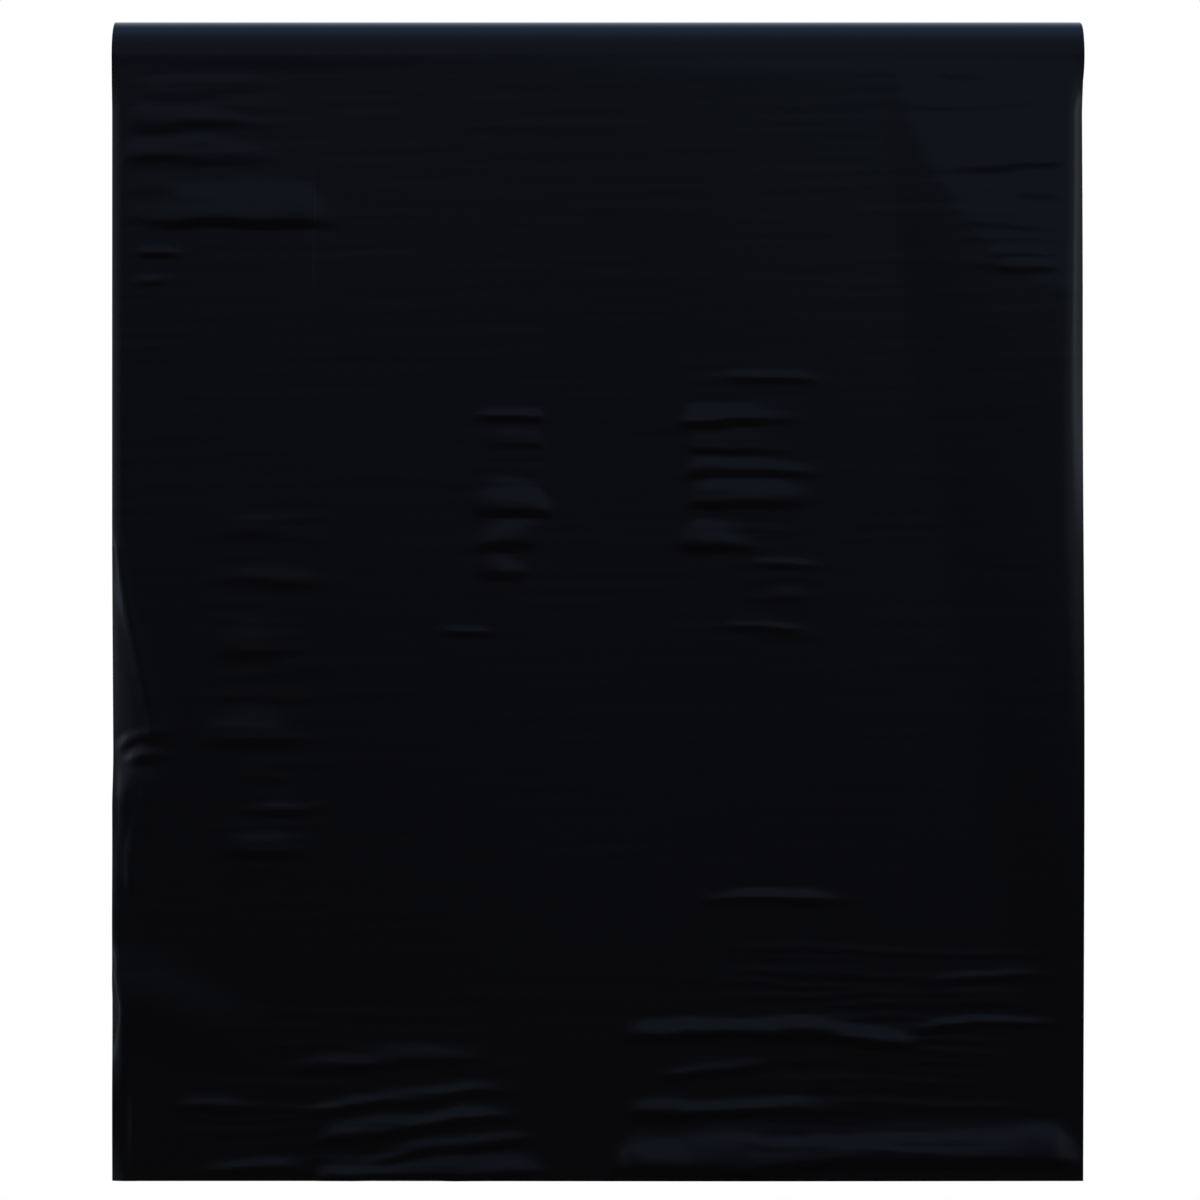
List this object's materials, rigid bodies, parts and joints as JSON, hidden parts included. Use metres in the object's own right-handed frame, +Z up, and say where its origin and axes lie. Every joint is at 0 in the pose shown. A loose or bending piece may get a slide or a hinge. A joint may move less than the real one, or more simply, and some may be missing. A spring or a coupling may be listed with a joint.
{
  "type": "roll of sign vinyl",
  "caption": "Roll of glossy black self-adhesive vinyl with release liner, wound on a paper core with end plugs, its loose end hanging down in front.",
  "frame": {"origin": "the roll's axis, half way along its width", "axes": "+X along the roll's axis, -Y towards the side that the loose web hangs on, +Z up"},
  "size_m": [0.61, 0.0461, 0.7308],
  "materials": {
    "plug_plastic": "moulded black polypropylene, satin",
    "core_paper": "spiral-wound brown paper board",
    "starting_tape": "translucent double-sided tape",
    "release_liner": "silicone-coated paper, off-white",
    "black_vinyl": "glossy black calendered vinyl film"
  },
  "bodies": {
    "plugs": {"core_plug_left": "plug_plastic", "core_plug_right": "plug_plastic"},
    "roll": {"core_tube": "core_paper", "core_start_tape": "starting_tape", "wound_liner": "release_liner", "wound_film": "black_vinyl"},
    "web": {"hanging_liner": "release_liner", "hanging_film": "black_vinyl"}
  },
  "joints": [
    {"name": "roll_spin", "type": "hinge", "parent": "plugs", "child": "roll", "pos_m": [0, 0, 0], "axis": [1, 0, 0], "range_deg": [-360, 720]},
    {"name": "web_feed", "type": "slide", "parent": "plugs", "child": "web", "axis": [0, 0, -1], "range_m": [-0.145, 0.287]}
  ],
  "couplings": [
    {"joint": "web_feed", "follows": "roll_spin", "m_per_rad": 0.02273}
  ]
}
